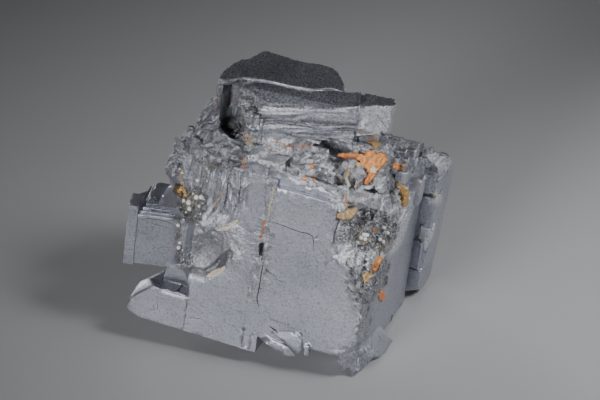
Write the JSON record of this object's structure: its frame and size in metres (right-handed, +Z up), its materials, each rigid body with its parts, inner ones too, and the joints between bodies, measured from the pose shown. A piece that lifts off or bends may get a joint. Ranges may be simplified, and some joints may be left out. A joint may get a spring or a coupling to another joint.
{
  "type": "galena mineral specimen",
  "caption": "Hand-sized specimen of cleaved, stepped lead-grey galena with inset copper-gold chalcopyrite patches and white calcite beads.",
  "frame": {"origin": "on the ground under the middle of the specimen's bounding box", "axes": "+Z up as the specimen rests; +X to the right and +Y away, seen from where the big front cleavage face is seen"},
  "size_m": [0.1126, 0.0778, 0.0982],
  "materials": {
    "galena": "lead-grey metallic lustre, bright on cleavage faces and sandy on the tops",
    "chalcopyrite": "copper-gold tarnished metallic grains",
    "calcite": "white, waxy, slightly translucent beads"
  },
  "bodies": {
    "root": {"calcite_cluster": "calcite", "calcite_pair": "calcite", "calcite_seam": "calcite", "chalcopyrite_edge": "chalcopyrite", "chalcopyrite_left": "chalcopyrite", "chalcopyrite_shoulder": "chalcopyrite", "chalcopyrite_star": "chalcopyrite", "chalcopyrite_wedge": "chalcopyrite", "galena": "galena"}
  },
  "joints": []
}
